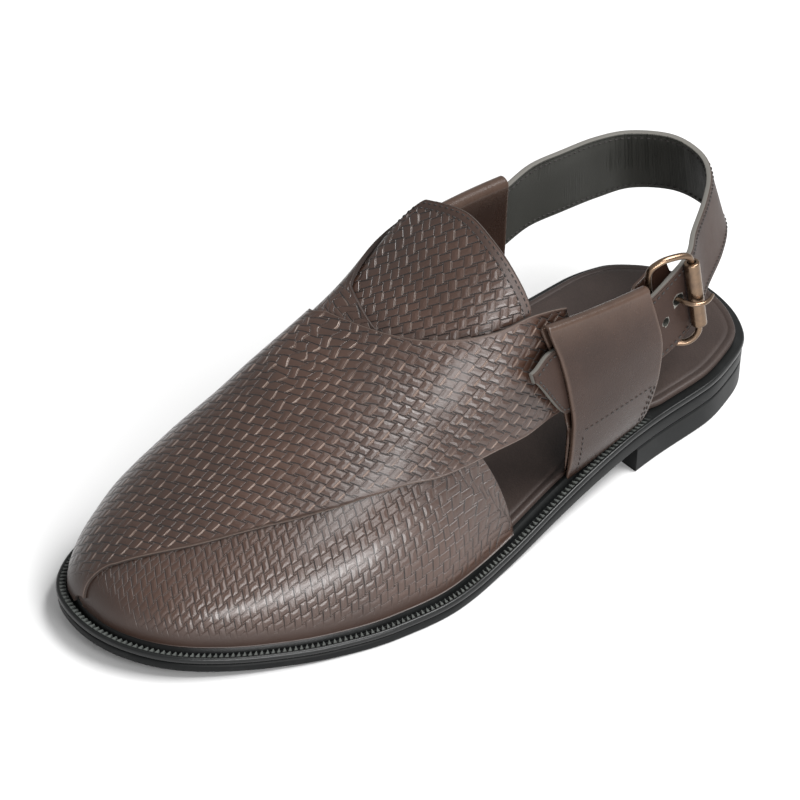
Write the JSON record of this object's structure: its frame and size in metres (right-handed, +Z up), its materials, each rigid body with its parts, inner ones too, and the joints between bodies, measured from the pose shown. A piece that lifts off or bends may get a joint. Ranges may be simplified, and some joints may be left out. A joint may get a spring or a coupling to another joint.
{
  "type": "peshawari chappal",
  "caption": "Left peshawari chappal: low heeled black sole, two crossed embossed leather panels, tongue, folded quarters and a buckled heel strap; open waist and heel.",
  "frame": {"origin": "on the ground, centre of the bounding box", "axes": "+X towards the wearer's left (lateral side), +Y towards the heel, toe at -Y, +Z up"},
  "size_m": [0.1158, 0.3014, 0.1227],
  "materials": {
    "rubber": "satin",
    "insole": "matte",
    "embossed": "embossed, semi-gloss",
    "smooth": "burnished",
    "strap": "semi-gloss",
    "bronze": "antique bronze"
  },
  "bodies": {
    "root": {"outsole": "rubber", "heel": "rubber", "welt": "rubber", "insole": "insole", "upper": "embossed", "tongue": "embossed", "quarter_lateral": "smooth", "quarter_medial": "smooth", "heel_strap": "strap", "buckle_guard": "smooth", "buckle_frame": "bronze", "buckle_roller": "bronze", "buckle_prong": "bronze"}
  },
  "joints": []
}
